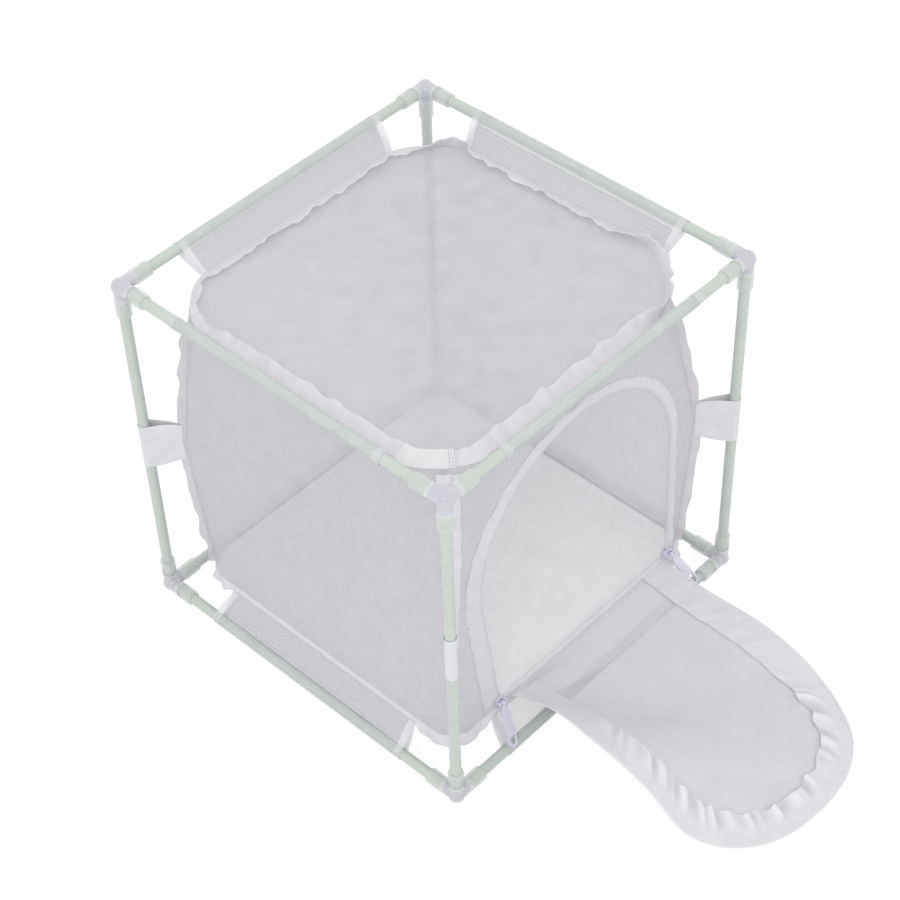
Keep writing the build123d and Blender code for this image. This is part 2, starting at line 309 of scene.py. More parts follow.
def milky_material(name, colour, arm_colour):
    """Milky plastic: cloudy at the solid corner, clearer round the tubes, with a painted highlight along the
    creases.

    The pieces' cloth coordinates hold the distance from the corner and from the nearest crease.
    """
    milky = Shading(name)
    split = milky.cloth_place()[1]
    place_of = milky.object_place()
    cloud = milky.noise(place_of, 45.0, 2.0)
    scuff = milky.noise(place_of, 300.0, 2.0)
    tone = milky.clouded(cloud, (0.3, 0.7), colour, 0.95, 1.04)
    tone = milky.mix(milky.ramp(split[0], (9.0, 12.5), 0.0, 1.0), tone, arm_colour)
    # A painted highlight: paler colour along the creases, which are also more solid.
    crease = milky.ramp(split[1], (0.2, 0.9), 0.7, 0.0)
    tone = milky.mix(crease, tone, (0.84, 0.85, 0.86))
    surface = milky.body(tone, Roughness=milky.ramp(scuff, (0.35, 0.65), 0.26, 0.30), **{
        "Coat Weight": 0.4, "Coat Roughness": 0.12,
    })
    facing = milky.node("LayerWeight", {0: 0.3}).outputs["Facing"]
    share = milky.math(
        "ADD", milky.ramp(split[0], (10.5, 13.0), 0.93, 0.5), milky.ramp(facing, (0.0, 1.0), 0.0, 0.25)
    )
    share = milky.math("ADD", share, milky.math("MULTIPLY", crease, 0.3))
    return milky.done(milky.open_up(milky.math("MINIMUM", share, 1.0), surface))


WALL_NET = net_material("wall_mesh", (0.72, 0.72, 0.75), 0.85, full_below=46)
OPEN_NET = net_material("wall_mesh_open", (0.695, 0.69, 0.72), 0.52, full_below=46)
ROOF_NET = net_material("roof_mesh", (0.77, 0.77, 0.80), 0.63)
# The tuck's net is painted paler than the wall's, a painted lightening of the shade its doubled net casts.
SHADE_LIFTED_TUCK_NET = net_material("tuck_mesh_shade_lifted", (0.80, 0.80, 0.82), 0.17)
WEB_NET = net_material("sleeve_web_mesh", (0.64, 0.64, 0.675), 0.44, stripe=0.05)
# The loop net is painted paler than the web, a painted lightening of the shade round the tube.
SHADE_LIFTED_LOOP_NET = net_material("sleeve_loop_mesh_shade_lifted", (0.86, 0.88, 0.88), 0.50, stripe=0.05)
# The low front sleeve's net is painted paler than the other webs, a painted lightening of the shade under the
# open door.
SHADE_LIFTED_WEB_NET = net_material("low_front_sleeve_mesh_shade_lifted", (0.90, 0.90, 0.92), 0.34)
# Near the hinge the door's net is painted paler, a painted lightening of the shade under the open door.
DOOR_NET = net_material("door_mesh_cloth", (0.645, 0.645, 0.675), 0.84, through_share=0.15, shade_lifted_below=33)
FLOOR_CLOTH = cloth_material("floor_weave", (0.785, 0.785, 0.80), cover=0.72, pitch=0.9)
BINDING = cloth_material("gathered_binding", (0.78, 0.765, 0.787), pitch=0.8)
SHEER = cloth_material("sheer_binding", (0.90, 0.88, 0.905), cover=0.62, pitch=0.8, through_share=0.5)
UPRIGHT = cloth_material("upright_binding", (0.775, 0.757, 0.78), cover=0.66, pitch=0.8, through_share=0.5)
# The hem's colour takes a painted highlight and painted shade on its gathers.
HEM = cloth_material("hem_weave_fold_shading", (0.735, 0.735, 0.755), pitch=0.8, folds=True)
BAND = cloth_material("sleeve_end_band", (0.80, 0.81, 0.82), cover=0.70)
TAPE = cloth_material("zip_tape_weave", (0.72, 0.72, 0.735), pitch=0.6)
TAPE_END = cloth_material("tape_end_weave", (0.79, 0.78, 0.787), pitch=0.8, stitches=(1.6, 3.6))
WEBBING = cloth_material("strap_webbing", (0.785, 0.79, 0.80), pitch=1.4, rough_weave=0.6)
TUBE = moulded_material("mint_tube", (0.53, 0.58, 0.53), 0.24, streak=0.03)
CONNECTOR = milky_material("milky_connector", (0.55, 0.555, 0.59), (0.74, 0.78, 0.73))
COIL = moulded_material("nylon_coil", (0.60, 0.60, 0.63), 0.5)
DOOR_COIL = moulded_material("pale_nylon_coil", (0.70, 0.70, 0.72), 0.5)
METAL = moulded_material("white_lacquer", (0.66, 0.655, 0.76), 0.2, coat=0.5)


# ---- Meshes

def link(name, data):
    made = bpy.data.objects.new(name, data)
    bpy.context.scene.collection.objects.link(made)
    return made


def make_piece(name, vertices, faces, uvs, materials, indices=None):
    """A mesh piece from millimetre points, with cloth coordinates in millimetres as its UVs."""
    mesh = bpy.data.meshes.new(name)
    mesh.from_pydata([tuple(p) for p in place(vertices)], [], [tuple(int(i) for i in f) for f in faces])
    layer = mesh.uv_layers.new(name="cloth")
    loops = np.empty(len(mesh.loops), dtype=np.int32)
    mesh.loops.foreach_get("vertex_index", loops)
    layer.data.foreach_set("uv", np.asarray(uvs, float)[loops].ravel())
    for material in materials:
        mesh.materials.append(material)
    if indices is not None:
        mesh.polygons.foreach_set("material_index", np.asarray(indices, dtype=np.int32))
    mesh.polygons.foreach_set("use_smooth", [True] * len(mesh.polygons))
    mesh.update()
    return link(name, mesh)


def grid_faces(rows, columns, close_rows=False, close_columns=False):
    faces = []
    for i in range(rows if close_rows else rows - 1):
        for j in range(columns if close_columns else columns - 1):
            row, above = i * columns, (i + 1) % rows * columns
            following = (j + 1) % columns
            faces.append((row + j, row + following, above + following, above + j))
    return faces


def grid_piece(name, points, uvs, materials, index_of=None, **closing):
    """A piece from rows of points; index_of picks the material by the cloth coordinates."""
    points, uvs = np.asarray(points), np.asarray(uvs)
    faces = grid_faces(*points.shape[:2], **closing)
    uvs = uvs.reshape(-1, 2)
    indices = None
    if index_of is not None:
        indices = [index_of(u, v) for u, v in uvs[np.array(faces)].mean(1)]
    return make_piece(name, points.reshape(-1, 3), faces, uvs, materials, indices)


def area_of(piece):
    return sum(p.area for p in piece.data.polygons)


# ---- The net box: a plan that changes with height

def corner_curve():
    """A unit corner from a side's end to the corner's middle: the run along it, x and y."""
    t = np.linspace(0, 0.5, 200)
    weight = 0.32
    below = (1 - t) ** 2 + 2 * weight * t * (1 - t) + t ** 2
    x, y = -((1 - t) ** 2) / below, -(t ** 2) / below
    return run_along(stack(x, y)), x, y


CORNER_RUN, CORNER_X, CORNER_Y = corner_curve()
CORNER_LENGTH = CORNER_RUN[-1]
SIDES = {"front": (0, -1), "right": (1, 0), "back": (0, 1), "left": (-1, 0)}
SIDE_ORDER = list(SIDES)


def turned(side, across, depth):
    """Across a side and out from the middle, as x and y."""
    ox, oy = SIDES[side]
    return across * -oy + depth * ox, across * ox + depth * oy


def half_width(side, v):
    """How far out a side of the net box lies."""
    if side == "front":
        return 130.5 + 2.5 * smooth_step((height_at(v) - 264) / 24)
    top = {"left": 133.0, "right": 132.5, "back": 130.5}[side]
    return 131.5 + (top - 131.5) * v


def corner_leg(number, v):
    """How long the cut is that rounds off a corner of the plan: the strap pulls it out."""
    top = (36, 56, 45, 38)[number]
    bottom = (17, 20, 16, 22)[number]
    low = 4 + (bottom - 4) * np.clip(1 - v / STRAP_V, 0, 1) ** 1.4
    high = 4 + (top - 4) * np.clip((v - STRAP_V) / (1 - STRAP_V), 0, 1) ** 1.15
    return np.where(v < STRAP_V, low, high)


def corner_at(side, end, v):
    """At one end of a side: how far out the next side lies, and the leg of the corner."""
    k = SIDE_ORDER.index(side)
    number = k if end < 0 else (k + 1) % 4
    return half_width(SIDE_ORDER[(k + end) % 4], v), corner_leg(number, v)


def side_end(side, v, end):
    """Distance along the cloth from a side's middle to the middle of its corner."""
    width, leg = corner_at(side, end, v)
    return width - leg + leg * CORNER_LENGTH


def side_point(side, s, v, out=0.0):
    """The point of the net at s along a side and v up it, moved out of the wall."""
    across, depth = s, half_width(side, v)
    for end in (-1, 1):
        width, leg = corner_at(side, end, v)
        start = width - leg
        run = np.clip((end * s - start) / leg, 0, CORNER_LENGTH)
        beyond = end * s > start
        across = np.where(beyond, end * (width + leg * np.interp(run, CORNER_RUN, CORNER_X)), across)
        drop = np.interp(run, CORNER_RUN, CORNER_Y)
        depth = np.where(beyond, half_width(side, v) + leg * drop, depth)
    x, y = turned(side, across, depth + out)
    return stack(x, y, height_at(v))


def wall_sag(side, s, v):
    """Slack and drawn creases of a wall, towards the outside."""
    seed = SIDE_ORDER.index(side) * 7 + 3
    sag = -2.2 * np.sin(math.pi * v) * np.cos(np.clip(s / 131, -1, 1) * math.pi / 2)
    sag = sag + 0.5 * ripple(s + 90 * v, 300, 70, seed) * np.sin(math.pi * v)
    over_strap = (v - STRAP_V) * NET_TALL
    for end in (-1, 1):
        far = np.hypot(s - end * 130, over_strap)
        turn = np.arctan2(over_strap, end * 130 - s + 1e-6)
        sag = sag + 1.3 * np.exp(-far / 55) * np.sin(turn * 9 + seed) * smooth_step(far / 25)
    return sag * smooth_step((131 - np.abs(s)) / 20)


def outline(v, count_side):
    """The closed plan at a height: points, outward normals, the distance round and its total."""
    points = []
    for side in SIDE_ORDER:
        s = np.linspace(-side_end(side, v, -1), side_end(side, v, 1), count_side, endpoint=False)
        points.append(side_point(side, s, v))
    points = np.concatenate(points)
    ahead = np.roll(points, -1, 0) - np.roll(points, 1, 0)
    normals = unit(stack(ahead[:, 1], -ahead[:, 0], 0.0))
    run = run_along(np.concatenate([points, points[:1]]))
    return points, normals, run[:-1], run[-1]


def disc_piece(name, v, z, material, sag, seed):
    """The roof or the floor: rings from the middle out to the plan's edge."""
    edge = outline(v, 96)[0]
    points = [np.zeros((len(edge), 3)) + [0, 0, z - sag]]
    for r in np.linspace(0.0, 1.0, 36)[1:]:
        ring = edge * r
        wave = 0.6 * ripple(ring[:, 0] + 0.4 * ring[:, 1], 300, 60, seed)
        wave = wave + 0.5 * ripple(ring[:, 1] - 0.3 * ring[:, 0], 300, 45, seed + 1)
        ring[:, 2] = z - sag * (1 - r ** 2) + wave * smooth_step((1 - r) * 6)
        points.append(ring)
    points = np.stack(points)
    return grid_piece(name, points, points[:, :, :2], [material], close_columns=True)


def wall_piece(side):
    v = np.linspace(0, 1, 60)[:, None]
    left, right = -side_end(side, v, -1), side_end(side, v, 1)
    s = left + (right - left) * np.linspace(0, 1, 80)
    points = side_point(side, s, v, wall_sag(side, s, v))
    net = OPEN_NET if side == "left" else WALL_NET
    return grid_piece(f"net_wall_{side}_cloth", points, stack(s, points[..., 2]), [net])


# ---- The doorway's outline

def leg_angle(foot):
    drop = HINGE_Z - ARCH_Z
    return math.atan2(drop, foot) + math.copysign(math.acos(ARCH_RADIUS / math.hypot(foot, drop)), foot)


def arch_line(inset, bottom, count):
    """Points x, z of the arch moved in by the inset, from the left foot to the right foot.

    Also the distance along it of each point, and the total.
    """
    radius = ARCH_RADIUS - inset
    ends = []
    for foot in (LEFT_FOOT, RIGHT_FOOT):
        angle = leg_angle(foot)
        x, z = radius * math.cos(angle), ARCH_Z + radius * math.sin(angle)
        ends.append((x + (z - bottom) * math.tan(angle), x, z, angle))
    (lx, ltx, ltz, la), (rx, rtx, rtz, ra) = ends
    la %= 2 * math.pi
    left = math.hypot(lx - ltx, ltz - bottom)
    right = math.hypot(rx - rtx, rtz - bottom)
    arc = radius * (la - ra)
    total = left + arc + right
    d = np.linspace(0, total, count)
    turn = la - (d - left) / radius
    k = (d - left - arc) / right
    parts = [d < left, d > left + arc]
    x = np.select(parts, [lx + (ltx - lx) * d / left, rtx + (rx - rtx) * k], radius * np.cos(turn))
    z = np.select(
        parts, [bottom + (ltz - bottom) * d / left, rtz + (bottom - rtz) * k], ARCH_Z + radius * np.sin(turn)
    )
    return stack(x, z), d, total


def front_surface(x, z, out=0.0):
    """A point on the front wall at x and height z."""
    return side_point("front", x, share_up(z), out)


def front_wall():
    """The front wall: a band between the doorway and the wall's edges."""
    count = 260
    inner = arch_line(-6.0, SILL_Z - 1, count)[0]
    v_up = np.linspace(0, 1, 100)
    left, right = (stack(end * side_end("front", v_up, end), height_at(v_up)) for end in (-1, 1))
    path = np.concatenate([left, np.linspace(left[-1], right[-1], 100)[1:-1], right[::-1]])
    outer = at_run(path, np.linspace(0, run_along(path)[-1], count))
    across = np.linspace(0, 1, 26)
    flat = inner[:, None] + (outer - inner)[:, None] * across[None, :, None]
    up = share_up(flat[..., 1])
    sag = wall_sag("front", flat[..., 0], up) * smooth_step(across * 2.5)
    points = side_point("front", flat[..., 0], up, sag)
    return grid_piece("net_wall_front_cloth", points, flat, [OPEN_NET])


walls = {side: wall_piece(side) for side in ("left", "back", "right")}
walls["front"] = front_wall()
roof = disc_piece("net_roof_cloth", 1.0, ROOF_Z, ROOF_NET, 3.0, 21)
floor_piece = disc_piece("floor_cloth_weave", 0.0, FLOOR_Z, FLOOR_CLOTH, 0.6, 31)


# ---- Bindings

# Each corner's number and place, and the side of the net that ends there.
CORNERS = {
    "front_left": (0, (-1, -1), "left"), "front_right": (1, (1, -1), "front"),
    "back_right": (2, (1, 1), "right"), "back_left": (3, (-1, 1), "back"),
}


def tilted(normals, tilt):
    """Up a tape that leans in by the tilt, and square to it."""
    sine, cosine = np.sin(tilt)[:, None], np.cos(tilt)[:, None]
    return cosine * UP - sine * normals, cosine * normals + sine * UP


def fin_strip(name, base, directions, sideways, widths, along, waves, material, closed=True):
    """A doubled tape that stands on a seam: both faces, with its free edge waving."""
    rise = (-0.05, 0.0, 0.35, 0.7, 0.96)
    levels = [(-1, level) for level in rise] + [(0, 1.0)] + [(1, level) for level in rise[::-1]]
    rows, cloth = [], []
    for side, level in levels:
        wave = waves * max(level, 0.0) ** 1.4
        rows.append(base + directions * (widths * level)[:, None] + sideways * (wave + side * 0.45)[:, None])
        cloth.append(stack(along, widths * (1 - level)))
    return grid_piece(name, rows, cloth, [material], close_columns=closed)


def top_binding():
    points, normals, along, total = outline(1.0, 150)
    x, y = points[:, 0], points[:, 1]
    stands = bump_at(y, 98, 13) * (x > 90)
    right_end = bump_at((x - y) / math.sqrt(2), 160, 17)
    tilt = np.radians(70 + 5 * ripple(along, total, 60, 5) - 55 * stands - 88 * right_end)
    front = smooth_step((-y - 100) / 25)
    corner = bump_at((y - x) / math.sqrt(2), 166, 22)
    widths = 9.9 + 1.3 * ripple(along, total, 27, 6) + 1.2 * front - 3.4 * corner
    waves = (1.0 + 0.7 * front) * ripple(along, total, 17, 7) + 0.9 * ripple(along, total, 38, 8) + 0.8
    return fin_strip("binding_top_tape", points, *tilted(normals, tilt), widths, along, waves, BINDING)


def tape_end():
    """The end of the top binding, lapped over its start at the front corner and stitched across."""
    points, normals = outline(1.0, 150)[:2]
    middle = np.argmin(points[:, 0] + points[:, 1])
    pick = np.arange(middle - 20, middle + 6) % len(points)
    base, width = points[pick], 10.6
    along = run_along(base)
    direction, over = tilted(normals[pick], np.full(len(pick), math.radians(62)))
    rows, cloth = [], []
    for share in np.linspace(-0.12, 1.08, 12):
        puff = 1.5 + 0.5 * math.sin(math.pi * max(share, 0.0)) + 0.25 * ripple(along, 60, 20, 31)
        rows.append(base + direction * (width * share) + over * puff[:, None])
        cloth.append(stack(width * share, along[-1] - along))
    return grid_piece("binding_top_tape_end", rows, cloth, [TAPE_END])


def bottom_binding():
    """Lies on the sleeves along the sides and hangs free at the corners."""
    points, normals, along, total = outline(0.0, 150)
    free = smooth_step((np.abs(points[:, :2]).min(1) - 94) / 14)
    tilt = np.radians(60 - 36 * free + (2 + 6 * free) * ripple(along, total, 50, 15))
    inwards, sideways = tilted(normals, tilt)
    widths = 3.6 + 4.8 * free + (0.3 + 0.5 * free) * ripple(along, total, 26, 16)
    waves = 0.9 * ripple(along, total, 15, 17) + 0.6 * ripple(along, total, 34, 18)
    waves = waves * (0.35 + 1.9 * free)
    return fin_strip(
        "binding_bottom_tape", points - 0.3 * UP, -inwards, sideways, widths, along, waves, SHEER
    )


def corner_line(name, v):
    """The middle of an upright corner of the net."""
    side = CORNERS[name][2]
    return side_point(side, side_end(side, v, 1), v)


def corner_binding(name):
    number, (x, y), _ = CORNERS[name]
    v = np.linspace(0.0, 0.985, 150)
    diagonal = np.array([x, y, 0]) / math.sqrt(2)
    lean = {"front_left": 84, "front_right": -12, "back_right": 8, "back_left": -20}[name]
    turn = math.radians(lean)
    aside = np.array([-diagonal[1], diagonal[0], 0])
    direction = diagonal * math.cos(turn) + aside * math.sin(turn)
    sideways = np.array([-direction[1], direction[0], 0])
    along = v * NET_TALL

    def wavy(wave, seed):
        return ripple(along, NET_TALL, wave, seed + number)

    held = bump_at((v - STRAP_V) * NET_TALL, 0, 24)
    waves = (1.6 * wavy(22, 40) + 1.2 * wavy(48, 50)) * (1 - 0.8 * held)
    widths = (6.4 + 0.8 * wavy(30, 60)) * (0.12 + 0.88 * smooth_step((0.97 - v) / 0.12))
    if name == "front_left":
        waves, widths = waves * 0.2, widths * 0.42
    ones = np.ones((len(v), 1))
    return fin_strip(
        f"binding_{name}_tape", corner_line(name, v), direction * ones, sideways * ones, widths,
        along, waves, UPRIGHT, closed=False,
    )


def front_strip():
    """The front left upright tape, which lies flat on the front wall."""
    z = np.linspace(29, 284, 100)
    reach = np.interp(z, (29, 60, 110, 165, 225, 284), (-126.5, -127, -126, -121.5, -116.5, -112))
    reach = reach + 0.5 * ripple(z, NET_TALL, 30, 81)
    corner = -side_end("front", share_up(z), -1)
    section = ((0.0, 0.3), (0.12, 0.9), (0.35, 1.0), (0.6, 1.0), (0.85, 1.1), (0.96, 1.3), (1.0, 0.6))
    rows, cloth = [], []
    for share, out in section:
        s = corner + (reach - corner) * share
        rows.append(front_surface(s, z, out + 0.2 * ripple(z, NET_TALL, 40, 82) * share))
        cloth.append(stack(z, 10 * share))
    return grid_piece("binding_front_left_flat_tape", rows, cloth, [BINDING])


def hanging_end():
    """The loose end of the top tape, which hangs down the front corner."""
    top = corner_line("front_left", np.array([0.985]))[0]
    a, d = np.meshgrid(np.linspace(-4.6, 4.6, 12), np.linspace(0, 15, 14))
    over = np.array([1.0, -1.0, 0]) / math.sqrt(2)
    out = np.array([-1.0, -1.0, 0]) / math.sqrt(2)
    curl = 2.2 + 0.8 * np.cos(a / 2.6) + 0.9 * np.sin(d / 5.0)
    points = top + over * a[..., None] + out * curl[..., None] + UP * (0.5 - d)[..., None]
    return grid_piece("binding_top_loose_end", points, stack(a, d + 6), [BINDING])


def wall_tuck():
    """A tuck of doubled net near the top of the left wall, with a pressed edge line."""
    corners = np.array([(-131, 262), (-88, 271), (-107, 217), (-127.5, 184)], float)
    k = np.linspace(0, 1, 26)
    top = corners[0] + (corners[1] - corners[0]) * k[:, None]
    bottom = corners[3] + (corners[2] - corners[3]) * k[:, None]
    flat = top + (bottom - top) * k[:, None, None]
    s, up = -flat[..., 0], share_up(flat[..., 1])
    puff = np.sin(math.pi * k)
    points = side_point("left", s, up, wall_sag("left", s, up) + 0.9 + 0.5 * puff * puff[:, None])
    return grid_piece(
        "net_wall_left_tuck", points, stack(k * 40, k[:, None] * 60), [SHADE_LIFTED_TUCK_NET, SHEER],
        lambda u, v: int(u > 38.8),
    )


binding_top = top_binding()
front_tape = front_strip()
loose_end = hanging_end()
tuck = wall_tuck()
binding_end = tape_end()
binding_bottom = bottom_binding()
corner_tapes = {name: corner_binding(name) for name in CORNERS}


# ---- Sleeves and straps

def teardrop(start, centre, radius, count_web):
    """A cloth's path from a seam over a round bar and back, as depth and height."""
    start, centre = np.array(start), np.array(centre)
    reach = centre - start
    base = math.atan2(reach[1], reach[0])
    opening = math.acos(radius / math.hypot(*reach))
    turn = np.linspace(base + math.pi - opening, base - math.pi + opening, 22)
    arc = centre + radius * stack(np.cos(turn), np.sin(turn))
    there = start + (arc[0] - start) * np.linspace(0, 1, count_web, endpoint=False)[:, None]
    back = arc[-1] + (start - arc[-1]) * np.linspace(0, 1, count_web)[1:, None]
    return np.concatenate([there, arc, back])


def sleeve_piece(level, side):
    """A doubled net sleeve from the seam round a tube, with a woven band at each end."""
    v, height, seam_z, seam_out, way = {
        "top": (1.0, HIGH_AXIS, ROOF_Z - 0.5, 0.9, 0.7), "bottom": (0.0, LOW_AXIS, FLOOR_Z - 2.5, 1.6, -0.7),
    }[level]
    half, band, web_rows = 98.0, 6, 14
    path = teardrop((half_width(side, v) + seam_out, seam_z), (TUBE_HALF, height), TUBE_LOOP, web_rows)
    steps = run_along(path)
    s = np.concatenate([
        np.linspace(-half, -half + band, 5), np.linspace(-half + band, half - band, 70)[1:-1],
        np.linspace(half - band, half, 5),
    ])
    seed = SIDE_ORDER.index(side) * 5 + (70 if level == "top" else 90)
    row = np.arange(len(path))
    from_seam = np.minimum(row, row[::-1])
    free = np.where(from_seam < web_rows, np.sin(math.pi * from_seam / web_rows), 0.0)[:, None]
    faces = [0.4 * ripple(s, 200, 40, seed + k) - 0.4 for k in (0, 1)]
    wave = free * np.where(row[:, None] < web_rows, *faces)
    narrow = 1 - 0.035 * (1 - np.sin(steps / steps[-1] * math.pi))
    depth = path[:, :1] + 0.7 * wave - 0.8 * free * (np.abs(s) / half) ** 8
    x, y = turned(side, s * narrow[:, None], depth)
    points = stack(x, y, path[:, 1:] + wave * way)
    # The paler loop net reaches 2.5 mm into the web, a painted lightening of the shade in the crevice by the
    # tube.
    loop_start, loop_end = steps[web_rows - 1] - 2.5, steps[-web_rows] + 2.5

    def zone(u, w):
        if abs(u) > half - band + 0.1:
            return 2
        return 1 if loop_start < w < loop_end else 0

    # The low front sleeve takes the net painted paler against the shade under the door.
    nets = [SHADE_LIFTED_WEB_NET, SHADE_LIFTED_WEB_NET] if (level, side) == ("bottom", "front") else [WEB_NET, SHADE_LIFTED_LOOP_NET]
    name = f"sleeve_{level}_{side}_cloth"
    return grid_piece(name, points, stack(s, steps[:, None]), [*nets, BAND], zone), 2 * half, steps[-1]


def strap_piece(name):
    """A webbing strap from the upright binding round the post and back."""
    number, (x, y), _ = CORNERS[name]
    line = corner_line(name, np.array([STRAP_V]))[0]
    start = math.hypot(line[0], line[1]) + 1.0
    path = teardrop((start, 0.0), (TUBE_HALF * math.sqrt(2), 0.0), 4.4, 16)
    steps = run_along(path)
    half = 20.0
    h = np.linspace(-half, half, 26)
    diagonal = np.array([x, y]) / math.sqrt(2)
    aside = np.array([-diagonal[1], diagonal[0]])
    depth, off = path[:, :1], path[:, 1:]
    part = np.clip((depth - start) / 16.0, 0, 1)
    free = np.where(part < 1, np.sin(math.pi * part), 0.0)
    first = np.arange(len(path))[:, None] < len(path) / 2
    faces = [0.6 * ripple(h + half, 80, 24, 120 + number + k) for k in (0, 1)]
    off = off + free * np.where(first, *faces) + np.where(first, 0.5, -0.5) * (1 - part)
    x, y = (depth * diagonal[k] + off * aside[k] for k in (0, 1))
    points = stack(x, y, STRAP_Z + h * (0.84 + 0.16 * part) + 0.5 * free)
    uvs = stack(steps[:, None], h + half)
    return grid_piece(f"strap_{name}_webbing", points, uvs, [WEBBING]), 2 * half, steps[-1]


sleeves = {
    f"{level}_{side}": sleeve_piece(level, side) for level in ("top", "bottom") for side in SIDE_ORDER
}
straps = {name: strap_piece(name) for name in CORNERS}


# ---- Corner connectors

def lathe(mesh, profile, turn, segments=56):
    """Adds a closed turned shape: distance along the arm and radius at each step."""
    rings = []
    for along, radius in profile:
        angles = [2 * math.pi * k / segments for k in range(segments)]
        rings.append([
            mesh.verts.new(turn @ Vector((radius * math.cos(a), radius * math.sin(a), along))) for a in angles
        ])
    for low, high in zip(rings, rings[1:]):
        for k in range(segments):
            n = (k + 1) % segments
            mesh.faces.new((low[k], low[n], high[n], high[k]))
    mesh.faces.new(rings[0][::-1])
    mesh.faces.new(rings[-1])


def mesh_object(name, mesh):
    data = bpy.data.meshes.new(name)
    bmesh.ops.recalc_face_normals(mesh, faces=mesh.faces[:])
    mesh.to_mesh(data)
    mesh.free()
    return link(name, data)


def in_fixed_order(points, polygons):
    """Points and faces in the same order each run, which a join leaves to chance."""
    order = np.lexsort(points.T)
    number = np.argsort(order)
    faces = []
    for polygon in polygons:
        corners = [int(number[i]) for i in polygon.vertices]
        start = corners.index(min(corners))
        faces.append((*corners[start:], *corners[:start]))
    return points[order], sorted(faces)


def connector_form():
    """One connector at the middle of the axes, its three arms along +X, +Y and +Z."""
    profile = [(float(k), 5.2) for k in range(12)] + [(11.4, 5.25), (11.8, 5.45), (12.3, 5.6)]
    profile += [(float(k), 5.62) for k in range(13, 25)] + [(24.8, 5.62), (25.5, 5.5), (25.9, 5.2)]
    quarter = math.radians(90)
    turns = (Matrix.Rotation(quarter, 4, "Y"), Matrix.Rotation(-quarter, 4, "X"), Matrix())
    arms = []
    for number, turn in enumerate(turns):
        mesh = bmesh.new()
        lathe(mesh, profile, turn)
        arms.append(mesh_object(f"connector_arm_{number}", mesh))
    mesh = bmesh.new()
    bmesh.ops.create_uvsphere(mesh, u_segments=48, v_segments=24, radius=6.1)
    form = mesh_object("connector_form", mesh)
    for arm in arms:
        join = form.modifiers.new("join", "BOOLEAN")
        join.operation = "UNION"
        join.solver = "EXACT"
        join.object = arm
    built = bpy.data.meshes.new_from_object(form.evaluated_get(bpy.context.evaluated_depsgraph_get()))
    for made in (form, *arms):
        bpy.data.objects.remove(made)
    return in_fixed_order(np.array([v.co[:] for v in built.vertices]), built.polygons)


def sharpen(piece, degrees):
    """Leaves the edges sharp that bend more than the angle."""
    mesh = bmesh.new()
    mesh.from_mesh(piece.data)
    for edge in mesh.edges:
        edge.smooth = len(edge.link_faces) == 2 and edge.calc_face_angle() < math.radians(degrees)
    mesh.to_mesh(piece.data)
    mesh.free()


def connector_pieces():
    points, faces = connector_form()
    order = np.sort(points, axis=1)[:, ::-1]
    # Distance from the nearest crease, where the material paints a highlight.
    crease = np.where(order[:, 1] > 3.5, order[:, 0] - order[:, 1], 9.0)
    uvs = stack(order[:, 0], crease)
    pieces = {}
    for level, height, down in (("top", HIGH_AXIS, -1), ("bottom", LOW_AXIS, 1)):
        for corner, (_, (x, y), _) in CORNERS.items():
            flip = np.array([-x, -y, down])
            moved = points * flip + np.array([x * TUBE_HALF, y * TUBE_HALF, height])
            facing = faces if flip.prod() > 0 else [f[::-1] for f in faces]
            piece = make_piece(f"connector_{level}_{corner}_skin", moved, facing, uvs, [CONNECTOR])
            sharpen(piece, 28)
            pieces[f"{level}_{corner}"] = piece
    return pieces


connectors = connector_pieces()


# ---- Zip

TOOTH_PITCH = 1.5


def zip_band():
    """The tape that follows the arch, a little proud of the wall and narrower up its right side."""
    count, rows_across = 220, 12
    insets = np.linspace(-0.6, -14, rows_across)
    inner = arch_line(insets[0], SILL_Z, count)[0]
    slim = np.interp(np.linspace(0, 1, count), (0, 0.30, 0.48, 1), (1.0, 1.0, 0.62, 0.5))[:, None]
    rows, cloth = [], []
    for k, (inset, out) in enumerate(zip(insets, np.linspace(0.9, 0.5, rows_across))):
        line, d, total = arch_line(inset, SILL_Z, count)
        line = inner + (line - inner) * slim
        lift = out + 0.7 * k / (rows_across - 1) * ripple(d / total, 1.0, 0.035, 9)
        rows.append(front_surface(line[:, 0], line[:, 1], lift))
        cloth.append(stack(d / total * 600, -inset))
    return grid_piece("zip_tape_band", rows, cloth, [TAPE])


def zip_teeth():
    """The coil round the doorway, as a cord with a rib at each tooth."""
    radius, sides = 0.95, 10
    arch = arch_line(0.0, SILL_Z, 400)[0]
    centre = front_surface(arch[:, 0], arch[:, 1], 0.4)
    total = run_along(centre)[-1]
    d = np.linspace(0, total, int(total / TOOTH_PITCH * 5))
    line = at_run(centre, d)
    ahead = unit(np.gradient(line, axis=0))
    aside = unit(np.cross(ahead, np.array([0, -1.0, 0])))
    out = np.cross(aside, ahead)
    swell = (radius * (1 + 0.3 * np.cos(2 * math.pi * d / TOOTH_PITCH)))[:, None]
    rows = [
        line + (aside * math.cos(a) * 1.35 + out * math.sin(a) * 0.8) * swell
        for a in np.linspace(0, 2 * math.pi, sides, endpoint=False)
    ]
    uvs = stack(d, np.linspace(0, 8, sides)[:, None])
    return grid_piece("zip_coil_teeth", rows, uvs, [COIL], close_rows=True)


zip_tape = zip_band()
zip_coil = zip_teeth()


# ---- Door: cut flat, then folded out

HINGE_FOLD = math.radians(99.3)
# Each crease: height up the middle of the flat door (mm), slope and fold (degrees), bend (mm)
LOWER_CREASE = (84.0, 40.0, -40.0, 45.0)
UPPER_CREASE = (138.0, 25.0, 50.0, 50.0)
DOOR_GAP = 5.0
HEM_WIDTH = 24.0
HEM_TOTAL = arch_line(DOOR_GAP, DOOR_FOOT, 2)[2]


def beyond_crease(slope):
    """The direction on the flat door that leads straight over a crease."""
    angle = math.radians(slope)
    return np.array([-math.sin(angle), math.cos(angle), 0.0])


